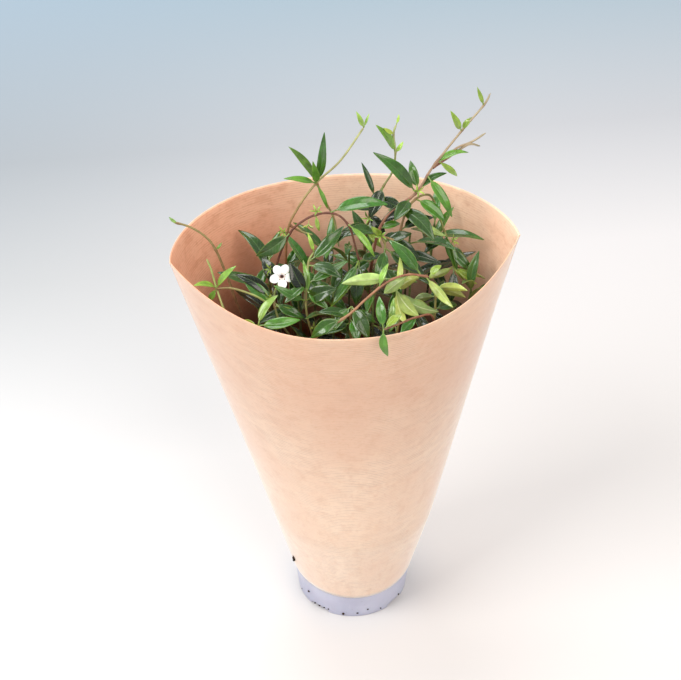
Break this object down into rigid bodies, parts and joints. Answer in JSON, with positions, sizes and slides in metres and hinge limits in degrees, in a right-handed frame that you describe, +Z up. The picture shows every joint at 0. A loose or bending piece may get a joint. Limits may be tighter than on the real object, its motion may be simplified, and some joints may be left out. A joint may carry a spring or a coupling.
{
  "type": "potted codonanthe gracilis in a paper plant sleeve",
  "caption": "Trailing house plant with glossy pointed leaves and a white flower, growing in a small nursery pot and standing inside a tall flared kraft paper sleeve.",
  "frame": {"origin": "centre of the pot's flat base, on the surface that the pot stands on", "axes": "+Z up; X along the sleeve's two creases; -Y towards the sleeve's lower front panel"},
  "size_m": [0.26, 0.1725, 0.448],
  "materials": {
    "pot_plastic": "matte grey-blue polypropylene with faint moulding marks",
    "potting_soil": "coarse dark peat with bark crumbs and white perlite",
    "kraft_paper": "ribbed brown kraft paper, lighter outside and deeper tan inside",
    "white_petal": "soft white petals with reddish-brown marks in the throat",
    "leafy_stem": "waxy dark green leaves, paler beneath, on red-brown to tan stems with lime tips"
  },
  "bodies": {
    "root": {"nursery_pot": "pot_plastic", "soil": "potting_soil", "paper_sleeve": "kraft_paper", "corolla": "white_petal", "stem_runner_left": "leafy_stem", "stem_sprig_left": "leafy_stem", "stem_tall_left": "leafy_stem", "stem_arch": "leafy_stem", "stem_tall_right": "leafy_stem", "stem_droop_right": "leafy_stem", "stem_front_thick": "leafy_stem", "stem_pale_right": "leafy_stem", "stem_pale_hooked": "leafy_stem", "stem_over_rim": "leafy_stem", "stem_flower": "leafy_stem", "stem_low_left": "leafy_stem", "stem_left_middle": "leafy_stem", "stem_middle": "leafy_stem", "stem_hanging_front": "leafy_stem", "stem_back": "leafy_stem", "stem_inner_1": "leafy_stem", "stem_inner_2": "leafy_stem", "stem_inner_3": "leafy_stem", "stem_inner_4": "leafy_stem", "stem_inner_5": "leafy_stem", "stem_inner_6": "leafy_stem", "stem_inner_7": "leafy_stem", "stem_inner_8": "leafy_stem", "stem_inner_9": "leafy_stem", "stem_inner_10": "leafy_stem", "stem_inner_11": "leafy_stem", "stem_inner_12": "leafy_stem"}
  },
  "joints": []
}
